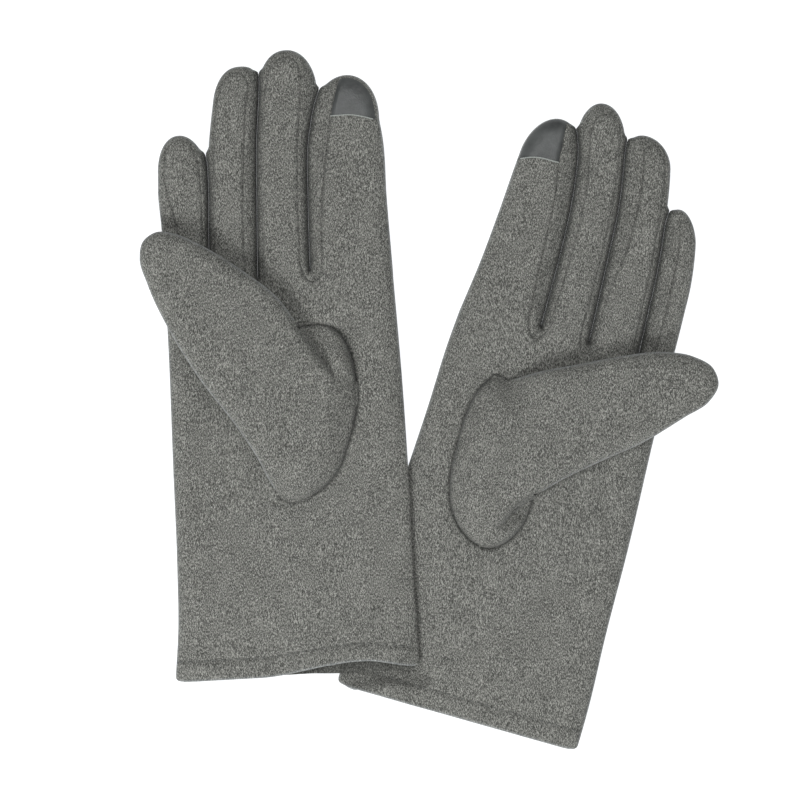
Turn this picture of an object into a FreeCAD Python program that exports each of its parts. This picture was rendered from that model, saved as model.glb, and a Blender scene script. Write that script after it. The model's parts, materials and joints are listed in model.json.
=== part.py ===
"""A pair of knitted touchscreen gloves, lying palm up, the right one's cuff on the left one's.

Each glove is cut and sewn from a palm panel, a back panel, strips between the fingers
(fourchettes), a set-in thumb with its gusset, a turned-up hem, and a smooth patch on the
index fingertip that a touchscreen can feel. Every glove is drawn in its own frame: the
middle of the cuff is the origin, +Y runs to the fingertips, and X runs across the palm,
positive towards the thumb. A sign of -1 turns the same drawing into the left glove.
"""
import FreeCAD, Part
import math
import os

import Sketcher
from FreeCAD import Placement, Rotation, Vector

doc = FreeCAD.newDocument("TouchscreenGloves")
sheet = doc.addObject("Spreadsheet::Sheet", "Sizes")

UP = Vector(0, 0, 1)
HANDS = {"right": 1, "left": -1}
FINGERS = ("index", "middle", "ring", "little")
# which sides of a finger carry a fourchette: +1 faces the thumb, -1 the little finger
SEWN_SIDES = {"index": (-1,), "middle": (1, -1), "ring": (1, -1), "little": (1,)}

# Sizes that both gloves share, in millimetres.
SHARED = {
    "cloth": 1.2,             # brushed knit, one layer
    "hemCloth": 0.6,          # the pressed turn-up inside the cuff
    "glovePly": 9.6,          # palm and back together, with the air between them
    "roundEdge": 4.3,         # how far the flattened glove's edge is rounded
    "palmTop": 152.0,         # cuff to the crotches of the fingers
    "palmMiddle": 80.0,       # where the palm's sides turn
    "pastCuff": 5.0,          # how far an inner space runs out through the cuff
    "fingerRoot": 150.0,      # where the fingers' own sizes are taken from
    "rootOverlap": 16.0,      # how far a finger's blank reaches into the palm
    "seamInset": 3.6,         # fourchette seam to the finger's edge
    "tongue": 7.0,            # how far a fourchette reaches below the crotch
    "knuckleGap": 0.3,        # clearance at each hinge
    "thumbPly": 8.4,          # the thumb, front and back together
    "thumbLift": 0.35,        # thumb to the palm it lies on
    "thumbEdge": 3.6,
    "gussetEdge": 6.0,
    "hemDepth": 8.0,
    "threadLine": 7.6,        # hem stitching to the cuff's edge
    "threadWide": 0.6,
    "threadProud": 0.3,
    "sewnGap": 0.1,           # a patch or a stitch to the cloth below it
    "patchCloth": 0.5,        # the smooth coated patch, over the cloth
    "patchHem": 0.8,          # the sewn lower edge of the patch
    "coveredTop": 4.6,        # height of the lower cuff where the other one lies on it
    "coveringBase": 5.1,      # underside of the upper cuff there
}

# Sizes of each glove: the same pattern lies a little differently on either hand.
GLOVES = {
    "right": {
        "placeX": -49.69, "placeY": -104.61, "turn": 3.2,
        "cuffHalf": 46.8, "middleHalf": 44.8, "middleShift": 1.8, "topHalf": 44.5, "topShift": 0.8,
        "indexX": 29.6, "indexLean": 0.6, "indexWide": 15.0, "indexEnd": 12.6, "indexReach": 76.0,
        "indexKnuckle": 37.0, "patchStart": 61.0,
        "middleX": 3.4, "middleLean": 3.0, "middleWide": 9.9, "middleEnd": 9.9, "middleReach": 87.4,
        "middleKnuckle": 42.0,
        "ringX": -15.9, "ringLean": 2.6, "ringWide": 8.8, "ringEnd": 8.7, "ringReach": 82.0,
        "ringKnuckle": 39.0,
        "littleX": -34.0, "littleLean": 0.3, "littleWide": 8.9, "littleEnd": 8.6, "littleReach": 56.3,
        "littleKnuckle": 28.0,
        "creaseTopX": 24.5, "creaseTopY": 111.3, "creaseEndX": -0.8, "creaseEndY": 67.0,
        "thumbUpperX": 2.5, "thumbUpperY": 143.0, "thumbTipX": -40.0, "thumbTipY": 172.0,
        "thumbToeX": -51.5, "thumbToeY": 160.0, "thumbLowerX": -31.0, "thumbLowerY": 114.5,
        "gussetTopX": 28.7, "gussetTopY": 116.0, "gussetSideX": 27.4, "gussetSideY": 92.0,
        "gussetEndX": 17.0, "gussetEndY": 72.5,
    },
    "left": {
        "placeX": 11.3, "placeY": -120.57, "turn": -15.8,
        "cuffHalf": 47.4, "middleHalf": 44.5, "middleShift": -0.5, "topHalf": 42.4, "topShift": -0.5,
        "indexX": 26.2, "indexLean": -1.4, "indexWide": 14.9, "indexEnd": 11.6, "indexReach": 78.5,
        "indexKnuckle": 38.0, "patchStart": 62.5,
        "middleX": -1.2, "middleLean": 4.2, "middleWide": 8.8, "middleEnd": 7.6, "middleReach": 90.0,
        "middleKnuckle": 43.0,
        "ringX": -19.5, "ringLean": 4.5, "ringWide": 9.1, "ringEnd": 8.4, "ringReach": 81.7,
        "ringKnuckle": 39.0,
        "littleX": -35.6, "littleLean": 3.0, "littleWide": 6.6, "littleEnd": 6.3, "littleReach": 58.5,
        "littleKnuckle": 28.0,
        "creaseTopX": 14.8, "creaseTopY": 128.5, "creaseEndX": 3.8, "creaseEndY": 75.5,
        "thumbUpperX": -12.0, "thumbUpperY": 145.0, "thumbTipX": -51.0, "thumbTipY": 158.0,
        "thumbToeX": -62.0, "thumbToeY": 147.5, "thumbLowerX": -30.0, "thumbLowerY": 111.5,
        "gussetTopX": 24.5, "gussetTopY": 126.5, "gussetSideX": 29.0, "gussetSideY": 100.0,
        "gussetEndX": 20.5, "gussetEndY": 72.0,
    },
}


def fill_sheet():
    """Writes every size to the sheet: a shared one once, a glove's own one with its hand's name."""
    rows = list(SHARED.items())
    for hand, sizes in GLOVES.items():
        rows += [(hand + name[0].upper() + name[1:], value) for name, value in sizes.items()]
        rows.append((hand + "Side", HANDS[hand]))
    for line, (name, value) in enumerate(rows, start=1):
        sheet.set(f"A{line}", name)
        sheet.set(f"B{line}", str(value))
        sheet.setAlias(f"B{line}", name)
    doc.recompute()


def shared(name):
    return f"Sizes.{name}"


def own(hand, name):
    """The expression of a glove's own size."""
    return f"Sizes.{hand}{name[0].upper()}{name[1:]}"


def value(expression):
    return sheet.evalExpression(expression)


# ---------------------------------------------------------------- places
def glove_place(hand):
    centre = Vector(value(own(hand, "placeX")), value(own(hand, "placeY")), 0)
    return Placement(centre, Rotation(UP, value(own(hand, "turn"))))


def finger_place(hand, finger):
    """A finger's own frame: its root is the origin and +Y runs to its tip."""
    side = HANDS[hand]
    root = Vector(side * value(own(hand, finger + "X")), value(shared("fingerRoot")), 0)
    return Placement(root, Rotation(UP, -side * value(own(hand, finger + "Lean"))))


def crease_place(hand):
    """The thumb's hinge line: the origin at its middle, +Y along it, +X towards the gusset."""
    side = HANDS[hand]
    top = Vector(side * value(own(hand, "creaseTopX")), value(own(hand, "creaseTopY")), 0)
    end = Vector(side * value(own(hand, "creaseEndX")), value(own(hand, "creaseEndY")), 0)
    along = math.degrees(math.atan2(side * (top.y - end.y), side * (top.x - end.x)))
    return Placement((top + end) * 0.5, Rotation(UP, along - 90))


# ---------------------------------------------------------------- building blocks
def padded_outline(name, corners, base, depth):
    """A PartDesign body: a straight-sided outline, padded upwards from the height 'base'."""
    body = doc.addObject("PartDesign::Body", name)
    sketch = body.newObject("Sketcher::SketchObject", name + "_outline")
    plane = [f for f in body.Origin.OriginFeatures if f.Role == "XY_Plane"][0]
    sketch.AttachmentSupport = [(plane, "")]
    sketch.MapMode = "FlatFace"
    sketch.setExpression("AttachmentOffset.Base.z", base)
    spots = [Vector(value(x), value(y), 0) for x, y in corners]
    for spot, following in zip(spots, spots[1:] + spots[:1]):
        sketch.addGeometry(Part.LineSegment(spot, following))
    for line in range(len(corners)):
        sketch.addConstraint(Sketcher.Constraint("Coincident", line, 2, (line + 1) % len(corners), 1))
    for line, (spot, corner) in enumerate(zip(spots, corners)):
        for kind, number, expression in (("DistanceX", spot.x, corner[0]), ("DistanceY", spot.y, corner[1])):
            index = sketch.addConstraint(Sketcher.Constraint(kind, -1, 1, line, 1, number))
            sketch.setExpression(f"Constraints[{index}]", expression)
    pad = body.newObject("PartDesign::Pad", name + "_pad")
    pad.Profile = sketch
    pad.setExpression("Length", depth)
    doc.recompute()
    return body


def rounded(body, radius, wanted):
    """Fillets the body's edges that 'wanted' picks by their lowest and highest corner."""
    base = body.Tip
    names = [
        f"Edge{number}"
        for number, edge in enumerate(base.Shape.Edges, start=1)
        if wanted(edge.BoundBox)
    ]
    fillet = body.newObject("PartDesign::Fillet", body.Name + "_round")
    fillet.Base = (base, names)
    fillet.setExpression("Radius", radius)
    doc.recompute()
    return body


def upright(box):
    return box.ZLength > 1


def level(box):
    return box.ZLength < 0.01


def block(name, place, low, high):
    """A Part box in the given frame between two corners, which are expressions."""
    box = doc.addObject("Part::Box", name)
    for prop, first, last in zip(("Length", "Width", "Height"), low, high):
        box.setExpression(prop, f"{last} - ({first})")
    box.Placement = place.multiply(Placement(Vector(*[value(x) for x in low]), Rotation()))
    return box


def cut(name, base, tool):
    result = doc.addObject("Part::Cut", name)
    result.Base, result.Tool = base, tool
    return result


def common(name, base, tool):
    result = doc.addObject("Part::Common", name)
    result.Base, result.Tool = base, tool
    return result


def fuse(name, shapes):
    result = doc.addObject("Part::MultiFuse", name)
    result.Shapes = shapes
    result.Refine = True
    return result


# ---------------------------------------------------------------- the glove's blanks
def palm_blank(hand, inset, open_cuff):
    """The flattened palm, every face drawn in by 'inset', running out past the cuff if open."""
    def edge(sign, shift, half):
        return f"Sizes.{hand}Side * {shift} {'+' if sign > 0 else '-'} ({half} - {inset})"

    def cuff_corner(sign):
        """Where the side line starts: at the cuff's edge, or run on in line to past it."""
        at_edge = edge(sign, 0, own(hand, "cuffHalf"))
        if not open_cuff:
            return (at_edge, "0")
        turn = edge(sign, own(hand, "middleShift"), own(hand, "middleHalf"))
        return (f"{at_edge} + ({at_edge} - ({turn})) * Sizes.pastCuff / Sizes.palmMiddle", "-Sizes.pastCuff")

    corners = [
        cuff_corner(-1),
        cuff_corner(1),
        (edge(1, own(hand, "middleShift"), own(hand, "middleHalf")), shared("palmMiddle")),
        (edge(1, own(hand, "topShift"), own(hand, "topHalf")), f"Sizes.palmTop - {inset}"),
        (edge(-1, own(hand, "topShift"), own(hand, "topHalf")), f"Sizes.palmTop - {inset}"),
        (edge(-1, own(hand, "middleShift"), own(hand, "middleHalf")), shared("palmMiddle")),
    ]
    body = padded_outline(hand + "_palm_blank", corners, inset, f"Sizes.glovePly - 2 * ({inset})")
    return rounded(body, f"Sizes.roundEdge - ({inset})", lambda box: level(box) and box.YLength > 10)


def half_width(hand, finger, along):
    """A finger's half width at a distance from its root: it tapers evenly."""
    wide, end, reach = (own(hand, finger + part) for part in ("Wide", "End", "Reach"))
    return f"({wide} + ({end} - {wide}) * ({along}) / {reach})"


def finger_root_blank(hand, finger, inset, open_end):
    """The part of a finger between the palm and its knuckle."""
    knuckle = own(hand, finger + "Knuckle")
    end = f"{knuckle} + 2" if open_end else f"{knuckle} - Sizes.knuckleGap / 2"
    wide = f"({own(hand, finger + 'Wide')} - ({inset}))"
    narrow = f"({half_width(hand, finger, knuckle)} - ({inset}))"
    start = f"-(Sizes.rootOverlap - ({inset}))"
    corners = [(f"-{wide}", start), (wide, start), (narrow, end), (f"-{narrow}", end)]
    body = padded_outline(f"{hand}_{finger}_root", corners, inset, f"Sizes.glovePly - 2 * ({inset})")
    rounded(body, f"Sizes.roundEdge - ({inset})", lambda box: level(box) and box.YLength > 10)
    body.Placement = finger_place(hand, finger)
    return body


def fingertip_blank(hand, finger, inset, open_end):
    """The part of a finger beyond its knuckle, with its round end."""
    knuckle = own(hand, finger + "Knuckle")
    start = f"{knuckle} - 2" if open_end else f"{knuckle} + Sizes.knuckleGap / 2"
    narrow = f"({own(hand, finger + 'End')} - ({inset}))"
    wide = f"({half_width(hand, finger, knuckle)} - ({inset}))"
    reach = f"{own(hand, finger + 'Reach')} - ({inset})"
    corners = [(f"-{wide}", start), (wide, start), (narrow, reach), (f"-{narrow}", reach)]
    body = padded_outline(f"{hand}_{finger}_tip", corners, inset, f"Sizes.glovePly - 2 * ({inset})")
    far = value(reach)
    near = value(start)
    rounded(body, f"0.9 * {narrow}", lambda box: upright(box) and box.YMax > far - 0.01)
    rounded(body, f"Sizes.roundEdge - ({inset})", lambda box: level(box) and box.YMax > near + 0.01)
    body.Placement = finger_place(hand, finger)
    return body


# ---------------------------------------------------------------- where one cuff lies on the other
def overlap_zone(hand, inset, height):
    """The box over the other glove's side: what lies in it is flattened.

    The right glove lies on top, so its zone is below 'height' and follows the left glove's
    edge. The left one's zone is above 'height' and follows the right glove's edge.
    """
    other = "left" if hand == "right" else "right"
    side = HANDS[other]
    place = glove_place(hand).inverse().multiply(glove_place(other))
    edge = f"({own(other, 'cuffHalf')} + 0.6 + {inset})"
    across = (f"-{edge}", "150") if side < 0 else ("-150", edge)
    heights = ("-20", height) if hand == "right" else (height, "40")
    return block(
        hand + "_overlap", place, (across[0], "-60", heights[0]), (across[1], "260", heights[1])
    )


def flattened(hand, blank, inset):
    height = f"Sizes.coveringBase + {inset}" if hand == "right" else f"Sizes.coveredTop - {inset}"
    return cut(hand + "_flattened", blank, overlap_zone(hand, inset, height))


def lower_half(hand):
    """The space of the back panel: under the middle height, and past the middle of the flattened cuff."""
    slab = block(
        hand + "_lower_slab", Placement(), ("-100", "-20", "-20"), ("100", "260", "Sizes.glovePly / 2")
    )
    if hand == "right":
        middle = "(Sizes.coveringBase + Sizes.glovePly) / 2"
        return fuse(hand + "_lower_half", [slab, overlap_zone(hand, "Sizes.cloth", middle)])
    return cut(hand + "_lower_half", slab, overlap_zone(hand, "Sizes.cloth", "Sizes.coveredTop / 2"))


# ---------------------------------------------------------------- sewn pieces
def finger_strip(hand, finger, facing, start, end):
    """The space of a fourchette along one edge of a finger, from 'start' to 'end' along it."""
    facing *= HANDS[hand]
    knuckle = own(hand, finger + "Knuckle")
    seam = f"({half_width(hand, finger, knuckle)} - Sizes.seamInset)"
    low, high = (seam, f"{seam} + 8") if facing > 0 else (f"-{seam} - 8", f"-{seam}")
    place = finger_place(hand, finger)
    return block(f"{hand}_{finger}_strip", place, (low, start, "-1"), (high, end, "Sizes.glovePly + 1"))


def crotch_strip(hand, finger, neighbour):
    """The space of the U-shaped fourchette between two fingers, below their knuckles."""
    lowest = "Sizes.palmTop - Sizes.fingerRoot - Sizes.tongue"
    strips = []
    for name, facing in ((finger, -1), (neighbour, 1)):
        knuckle = own(hand, name + "Knuckle")
        seam = f"({half_width(hand, name, knuckle)} - Sizes.seamInset)"
        reach = f"({seam} + Sizes.seamInset + 3.4)"
        low, high = (seam, reach) if facing * HANDS[hand] > 0 else (f"-{reach}", f"-{seam}")
        ends = (low, lowest, "-1"), (high, f"{knuckle} + 2", "Sizes.glovePly + 1")
        strips.append(block(f"{hand}_{name}_crotch", finger_place(hand, name), *ends))
    return fuse(f"{hand}_{finger}_{neighbour}_crotch", strips)


def hand_shell(hand):
    """Palm and finger roots as one hollow shell that is open at the cuff and at the knuckles."""
    outside = fuse(
        hand + "_outside",
        [palm_blank(hand, "0", False)] + [finger_root_blank(hand, f, "0", False) for f in FINGERS],
    )
    inside = fuse(
        hand + "_inside",
        [palm_blank(hand, "Sizes.cloth", True)]
        + [finger_root_blank(hand, f, "Sizes.cloth", True) for f in FINGERS],
    )
    return cut(
        hand + "_shell", flattened(hand, outside, "0"), flattened(hand, inside, "Sizes.cloth")
    )


def hem(hand):
    """The turned-up band inside the cuff."""
    slab = block(hand + "_hem_slab", Placement(), ("-100", "0", "-1"), ("100", "Sizes.hemDepth", "20"))
    lining = flattened(hand, palm_blank(hand, "Sizes.cloth", True), "Sizes.cloth")
    mouth = "(Sizes.cloth + Sizes.hemCloth)"
    hollow = flattened(hand, palm_blank(hand, mouth, True), mouth)
    return cut(hand + "_hem", common(hand + "_hem_blank", lining, slab), hollow)


def hem_thread(hand):
    """The stitching that holds the hem, where it shows on the palm."""
    proud = "(0 - Sizes.threadProud)"
    outer = flattened(hand, palm_blank(hand, proud, False), proud)
    lifted = "(0 - Sizes.sewnGap)"
    inner = flattened(hand, palm_blank(hand, lifted, True), lifted)
    skin = cut(hand + "_thread_skin", outer, inner)
    low = ("-100", "Sizes.threadLine", "Sizes.coveredTop / 2")
    slab = block(
        hand + "_thread_slab", Placement(), low, ("100", "Sizes.threadLine + Sizes.threadWide", "20")
    )
    return common(hand + "_thread", skin, slab)


def fingertip_pieces(hand, finger):
    """The stall beyond a knuckle, and the fourchette strips that are sewn into it."""
    shell = cut(
        f"{hand}_{finger}_shell",
        fingertip_blank(hand, finger, "0", False),
        fingertip_blank(hand, finger, "Sizes.cloth", True),
    )
    pieces = {}
    strips = []
    for facing in SEWN_SIDES[finger]:
        ends = (f"{own(hand, finger + 'Knuckle')} - 2", f"{own(hand, finger + 'Reach')} - 6")
        strip = finger_strip(hand, finger, facing, *ends)
        strips.append(strip)
        towards = FINGERS[FINGERS.index(finger) - facing]
        pieces[f"{finger}_strip_facing_{towards}"] = common(f"{hand}_{finger}_piece", shell, strip)
    removed = strips[0] if len(strips) == 1 else fuse(f"{hand}_{finger}_strips", strips)
    pieces[f"{finger}_stall"] = cut(f"{hand}_{finger}_stall", shell, removed)
    return pieces


def touch_patch(hand):
    """The coated patch over the front of the index fingertip, and its sewn lower edge."""
    proud = "(0 - Sizes.patchCloth)"
    skin = cut(
        hand + "_patch_skin",
        fingertip_blank(hand, "index", proud, False),
        fingertip_blank(hand, "index", "(0 - Sizes.sewnGap)", True),
    )
    seam = f"({own(hand, 'indexWide')} - Sizes.seamInset - 3)"
    across = (f"-{seam}", "20") if HANDS[hand] > 0 else ("-20", seam)
    place = finger_place(hand, "index")
    start = own(hand, "patchStart")
    middle = "Sizes.glovePly / 2"

    def band(name, first, last):
        low, high = (across[0], first, middle), (across[1], last, "20")
        return common(f"{hand}_{name}", skin, block(f"{hand}_{name}_band", place, low, high))

    return {
        "touch_patch": band("patch", start, f"{start} + 30"),
        "patch_edge_stitching": band("patch_edge", f"{start} - Sizes.patchHem", start),
    }


def corner(hand, name, across="0", along="0"):
    """A corner of the thumb or the gusset as expressions, moved by so much across and along."""
    return (
        f"Sizes.{hand}Side * ({own(hand, name + 'X')} + {across})",
        f"{own(hand, name + 'Y')} + {along}",
    )


def thumb(hand):
    """The thumb's hollow stall, folded across the palm and open at its hinge line."""
    base = "Sizes.glovePly + Sizes.thumbLift"
    names = ("creaseTop", "thumbUpper", "thumbTip", "thumbToe", "thumbLower", "creaseEnd")
    corners = [corner(hand, name) for name in names]
    body = padded_outline(hand + "_thumb", corners, base, shared("thumbPly"))
    tip_corners = [Vector(value(x), value(y), 0) for x, y in corners[2:4]]
    crease = crease_place(hand).inverse()

    def at_tip(box):
        centre = Vector(box.Center.x, box.Center.y, 0)
        return upright(box) and min((centre - corner).Length for corner in tip_corners) < 0.5

    def beside_crease(box):
        return abs(crease.multVec(box.Center).x) > 0.5

    rounded(body, "7", at_tip)
    rounded(body, shared("thumbEdge"), lambda box: level(box) and beside_crease(box))
    base_shape = body.Tip
    root = [
        f"Face{number}"
        for number, face in enumerate(base_shape.Shape.Faces, start=1)
        if abs(crease.multVec(face.CenterOfMass).x) < 0.05
    ]
    hollow = body.newObject("PartDesign::Thickness", hand + "_thumb_hollow")
    hollow.Base = (base_shape, root)
    hollow.Reversed = True
    hollow.Join = 0
    hollow.setExpression("Value", shared("cloth"))
    doc.recompute()
    clearance = block(
        hand + "_thumb_clearance",
        crease_place(hand),
        ("0 - Sizes.knuckleGap / 2", "-60", "0"),
        ("30", "60", "30"),
    )
    return cut(hand + "_thumb_stall", body, clearance)


def gusset_blank(hand, inset):
    """The raised root of the thumb, drawn in by 'inset', and running on under the thumb."""
    corners = [
        corner(hand, "creaseTop", "-8", f"0 - {inset}"),
        corner(hand, "gussetTop", f"0 - {inset}", f"0 - {inset}"),
        corner(hand, "gussetSide", f"0 - {inset}"),
        corner(hand, "gussetEnd", f"0 - {inset}", inset),
        corner(hand, "creaseEnd", "-8", inset),
    ]
    base = f"Sizes.glovePly - Sizes.cloth - ({inset})"
    body = padded_outline(hand + "_gusset", corners, base, "Sizes.thumbPly + Sizes.thumbLift + Sizes.cloth")
    top = body.Tip.Shape.BoundBox.ZMax
    crease = crease_place(hand).inverse()

    def outer(box):
        return crease.multVec(box.Center).x > 0.5

    rounded(body, f"Sizes.gussetEdge - ({inset})", lambda box: upright(box) and outer(box))
    return rounded(
        body, f"Sizes.thumbEdge - ({inset})", lambda box: level(box) and box.ZMax > top - 0.01 and outer(box)
    )


def gusset(hand):
    """The gusset's hollow shell, open to the palm and to the thumb, and the solid that cuts its hole."""
    clearance = block(
        hand + "_gusset_clearance",
        crease_place(hand),
        ("-40", "-60", "0"),
        ("Sizes.knuckleGap / 2", "60", "30"),
    )
    raised = cut(hand + "_gusset_raised", gusset_blank(hand, "0"), clearance)
    return cut(hand + "_gusset_shell", raised, gusset_blank(hand, "Sizes.cloth")), raised


def glove(hand):
    """Every piece of one glove, by name, in the glove's own frame."""
    pieces = {}
    shell = hand_shell(hand)
    crotches = []
    for finger, neighbour in zip(FINGERS, FINGERS[1:]):
        strip = crotch_strip(hand, finger, neighbour)
        crotches.append(strip)
        pieces[f"fourchette_{finger}_{neighbour}"] = common(f"{hand}_fourchette", shell, strip)
    panels = cut(hand + "_panels", shell, fuse(hand + "_crotches", crotches))
    lower = lower_half(hand)
    gusset_piece, thumb_hole = gusset(hand)
    front = cut(hand + "_front", panels, lower)
    pieces["palm_panel"] = cut(hand + "_palm_panel", front, thumb_hole)
    pieces["back_panel"] = common(hand + "_back_panel", panels, lower)
    pieces["cuff_hem"] = hem(hand)
    pieces["hem_stitching"] = hem_thread(hand)
    pieces["thumb_gusset"] = gusset_piece
    pieces["thumb_stall"] = thumb(hand)
    for finger in FINGERS:
        pieces.update(fingertip_pieces(hand, finger))
    pieces.update(touch_patch(hand))
    return pieces


# ---------------------------------------------------------------- the pair
fill_sheet()
nodes = []
for hand in HANDS:
    for name, piece in glove(hand).items():
        piece.Label = f"{hand}_{name}"
        piece.Placement = glove_place(hand)
        nodes.append(piece)
doc.recompute()

for item in doc.Objects:
    if "Invalid" in item.State or "Error" in item.State:
        raise RuntimeError(f"{item.Label} failed: {item.State}")
for piece in nodes:
    if piece.Shape.isNull() or not piece.Shape.isValid() or not piece.Shape.Solids:
        raise RuntimeError(f"{piece.Label} has no valid solid")

os.makedirs("parts", exist_ok=True)
for piece in nodes:
    piece.Shape.exportStep(f"parts/{piece.Label}.step")
    print(piece.Label, len(piece.Shape.Solids), round(piece.Shape.Volume))
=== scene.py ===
"""A pair of brushed-knit touchscreen gloves, lying palm up with the right cuff on the left one.

Each glove is cut and sewn from a palm panel, a back panel, strips between the fingers, a
set-in thumb, a turned-up hem and a coated patch on the index fingertip. Shapes are laid out
in millimetres in a glove's own frame: the middle of its cuff is the origin, Y runs to the
fingertips and X across the palm towards the thumb, on either hand.
"""
import json
import math

import bpy
import numpy as np
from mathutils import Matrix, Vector, noise
from mathutils.geometry import delaunay_2d_cdt


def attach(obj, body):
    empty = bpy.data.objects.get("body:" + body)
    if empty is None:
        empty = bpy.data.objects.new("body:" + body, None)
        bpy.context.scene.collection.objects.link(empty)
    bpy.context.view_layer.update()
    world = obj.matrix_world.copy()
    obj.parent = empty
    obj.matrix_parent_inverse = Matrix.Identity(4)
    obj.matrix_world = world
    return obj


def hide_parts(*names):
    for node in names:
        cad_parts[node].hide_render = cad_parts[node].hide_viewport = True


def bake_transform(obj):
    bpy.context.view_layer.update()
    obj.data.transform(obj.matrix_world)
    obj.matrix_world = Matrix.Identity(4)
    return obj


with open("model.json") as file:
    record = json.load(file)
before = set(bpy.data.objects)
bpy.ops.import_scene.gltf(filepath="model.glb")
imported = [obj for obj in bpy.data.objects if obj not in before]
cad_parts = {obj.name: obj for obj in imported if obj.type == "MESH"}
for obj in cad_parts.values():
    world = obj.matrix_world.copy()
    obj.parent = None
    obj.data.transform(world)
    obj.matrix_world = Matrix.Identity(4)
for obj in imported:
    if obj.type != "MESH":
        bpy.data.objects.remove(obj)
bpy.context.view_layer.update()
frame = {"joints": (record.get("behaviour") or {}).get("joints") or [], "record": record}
bpy.ops.object.select_all(action="DESELECT")


# ------------------------ where each glove lies
# The cuffs' openings are mounts of the frame, and give each glove its own axes. The lines
# below only turn a glove's millimetres into the frame's metres and back.
MM = 0.001
SIDE = {"left": -1, "right": 1}
mounts = {mount["name"]: mount for mount in frame["record"]["mounts"]}
joints = {joint["name"]: joint for joint in frame["joints"]}
axes = {}
for hand, side in SIDE.items():
    cuff = mounts[f"{hand}_cuff_opening"]
    along = -np.array(cuff["axis"][:2])
    across = side * np.array([along[1], -along[0]])
    axes[hand] = (np.array(cuff["pos_m"][:2]) / MM, across, along)


def to_row(hand, points):
    """A glove's millimetres as the frame's metres."""
    points = np.asarray(points, float)
    centre, across, along = axes[hand]
    flat = centre + points[:, :1] * across + points[:, 1:2] * along
    return np.hstack([flat, points[:, 2:3]]) * MM


def from_row(hand, flat):
    """The frame's X and Y, in millimetres, in a glove's own frame."""
    centre, across, along = axes[hand]
    moved = np.asarray(flat, float) - centre
    return np.stack([moved @ across, moved @ along], axis=-1)


# ------------------------ the flat pattern
# A glove is drawn round a flat hand: straight sides, four tapered fingers with round ends,
# and a strip sewn between each pair. A finger is given by stations up its length, each with
# its height, its middle and its half width, and by its tip and how squarely that is rounded.
FINGERS = ("index", "middle", "ring", "little")
STATIONS = {
    "right": {
        "index": ([(152, 29.3, 15.7), (180, 29.2, 15.0), (203, 29.7, 14.2), (210, 29.9, 13.1)],
            (31.2, 227.4), 2.0),
        "middle": ([(152, 3.2, 10.0), (181, 4.2, 9.9), (204, 5.5, 10.1), (221, 8.5, 11.2)],
            (8.7, 238.2), 2.15),
        "ring": ([(152, -16.0, 9.5), (181, -14.5, 9.4), (204, -13.1, 9.3), (219, -11.3, 8.8)],
            (-8.8, 232.9), 2.5),
        "little": ([(152, -33.4, 8.6), (175, -33.1, 9.2), (186, -33.1, 9.7), (192, -33.0, 9.5)],
            (-33.7, 207.9), 2.05),
    },
    "left": {
        "index": ([(152, 25.9, 15.1), (170, 24.8, 14.0), (190, 24.2, 13.0), (213, 24.3, 11.4)],
            (23.6, 230.1), 2.0),
        "middle": ([(152, -0.1, 9.1), (183, 1.1, 8.7), (206, 2.9, 8.7), (225, 6.8, 9.5)],
            (9.2, 240.3), 2.05),
        "ring": ([(152, -19.1, 9.7), (183, -17.3, 9.5), (203, -15.9, 9.1), (223, -12.4, 9.0)],
            (-9.6, 232.8), 2.1),
        "little": ([(152, -35.5, 6.5), (170, -34.9, 6.6), (183, -34.3, 6.6), (197, -32.3, 6.4)],
            (-29.3, 209.3), 2.0),
    },
}
# Each side of the palm, from the cuff to the fingers: height and distance from the middle line.
PALM_SIDES = {
    "right": {-1: [(0, 46.6), (20, 44.4), (45, 43.4), (80, 42.9), (120, 42.2), (152, 42.0)],
              1: [(0, 46.8), (35, 46.5), (78, 46.6), (110, 46.2), (152, 44.9)]},
    "left": {-1: [(0, 47.3), (15, 47.3), (45, 46.0), (80, 45.2), (120, 43.3), (152, 42.0)],
             1: [(0, 47.8), (40, 46.4), (80, 44.4), (112, 43.0), (135, 42.4), (152, 41.2)]},
}
CROTCHES = {
    "right": {("index", "middle"): 154.0, ("middle", "ring"): 151.5, ("ring", "little"): 150.0},
    "left": {("index", "middle"): 151.5, ("middle", "ring"): 151.0, ("ring", "little"): 149.5},
}
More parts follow.
